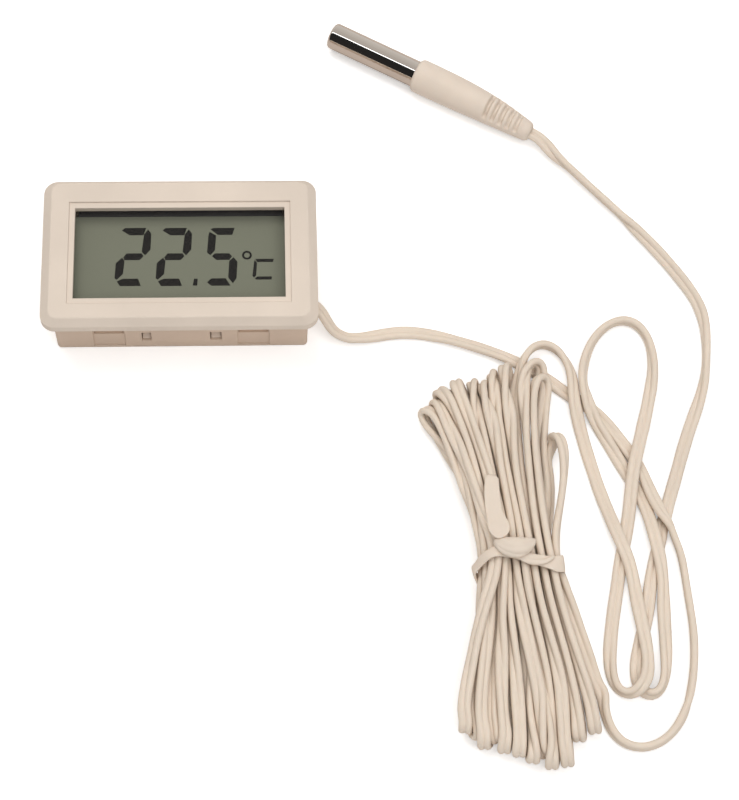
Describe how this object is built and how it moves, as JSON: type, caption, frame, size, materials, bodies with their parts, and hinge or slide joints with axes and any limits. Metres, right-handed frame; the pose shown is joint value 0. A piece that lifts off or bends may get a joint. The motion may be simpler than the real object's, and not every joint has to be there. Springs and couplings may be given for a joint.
{
  "type": "digital panel thermometer with remote probe",
  "caption": "Small cream digital panel thermometer showing a temperature, with a metal probe on a long cream twin lead tied in a hank.",
  "frame": {"origin": "centre of the flat back of the case", "axes": "+Z out of the display, +Y up the display, +X to the right of the display"},
  "size_m": [0.119, 0.1438, 0.0152],
  "materials": {
    "case_plastic": "fine spark-eroded texture, cream",
    "cover_plastic": "fine texture, cream",
    "lens_clear": "clear, polished",
    "gasket_black": "matt",
    "lcd_film": "tinted film",
    "lcd_glass": "clear",
    "lcd_ink": "dark liquid-crystal segments",
    "lcd_reflector": "grey-green diffuse",
    "spacer_white": "matt white",
    "zebra_rubber": "striped elastomer",
    "board_fr4": "solder-masked laminate",
    "epoxy_black": "cast epoxy",
    "chip_ceramic": "matt ceramic with tinned ends",
    "can_metal": "drawn can",
    "cell_steel": "nickel-plated can",
    "contact_metal": "spring brass, plated",
    "lead_pvc": "soft satin PVC, cream",
    "lead_copper": "tinned copper strands",
    "tie_pvc": "flat satin tape, cream",
    "boot_pvc": "soft moulded PVC, cream",
    "probe_metal": "polished nickel plate",
    "bead_epoxy": "dipped epoxy bead",
    "leg_metal": "tinned wire",
    "plug_resin": "cast sealing resin"
  },
  "bodies": {
    "case": {"front_case": "case_plastic", "rear_cover": "cover_plastic", "window_lens": "lens_clear", "display_gasket": "gasket_black", "lcd_front_polariser": "lcd_film", "lcd_front_glass": "lcd_glass", "lcd_segments": "lcd_ink", "lcd_rear_glass": "lcd_glass", "lcd_reflector": "lcd_reflector", "display_spacer": "spacer_white", "zebra_strip": "zebra_rubber", "circuit_board": "board_fr4", "chip_blob": "epoxy_black", "board_chip_parts": "chip_ceramic", "crystal_can": "can_metal", "button_cells": "cell_steel", "contact_positive": "contact_metal", "contact_negative": "contact_metal", "lead_entry": "lead_pvc", "lead_solder_tails": "lead_copper"},
    "door": {"battery_door": "cover_plastic", "door_link_strip": "contact_metal"},
    "hank": {"lead_case_side": "lead_pvc", "lead_hank_turns": "lead_pvc", "lead_loose_loops": "lead_pvc", "lead_probe_side": "lead_pvc", "hank_tie_band": "tie_pvc", "hank_tie_knot": "tie_pvc"},
    "probe": {"probe_boot": "boot_pvc", "probe_lead_tail": "lead_pvc", "probe_tube": "probe_metal", "thermistor_bead": "bead_epoxy", "thermistor_legs": "leg_metal", "probe_seal_plug": "plug_resin"}
  },
  "joints": [
    {"name": "door_slide", "type": "slide", "parent": "case", "child": "door", "axis": [-1, 0, 0], "range_m": [0, 0.024]},
    {"name": "lead_swing", "type": "hinge", "parent": "case", "child": "hank", "pos_m": [0.0226, -0.0065, 0.0057], "axis": [0, 0, 1], "range_deg": [-10, 14]},
    {"name": "probe_swing", "type": "hinge", "parent": "hank", "child": "probe", "pos_m": [0.06522, 0.03022, 0.00245], "axis": [0, 0, 1], "range_deg": [-20, 25]}
  ]
}
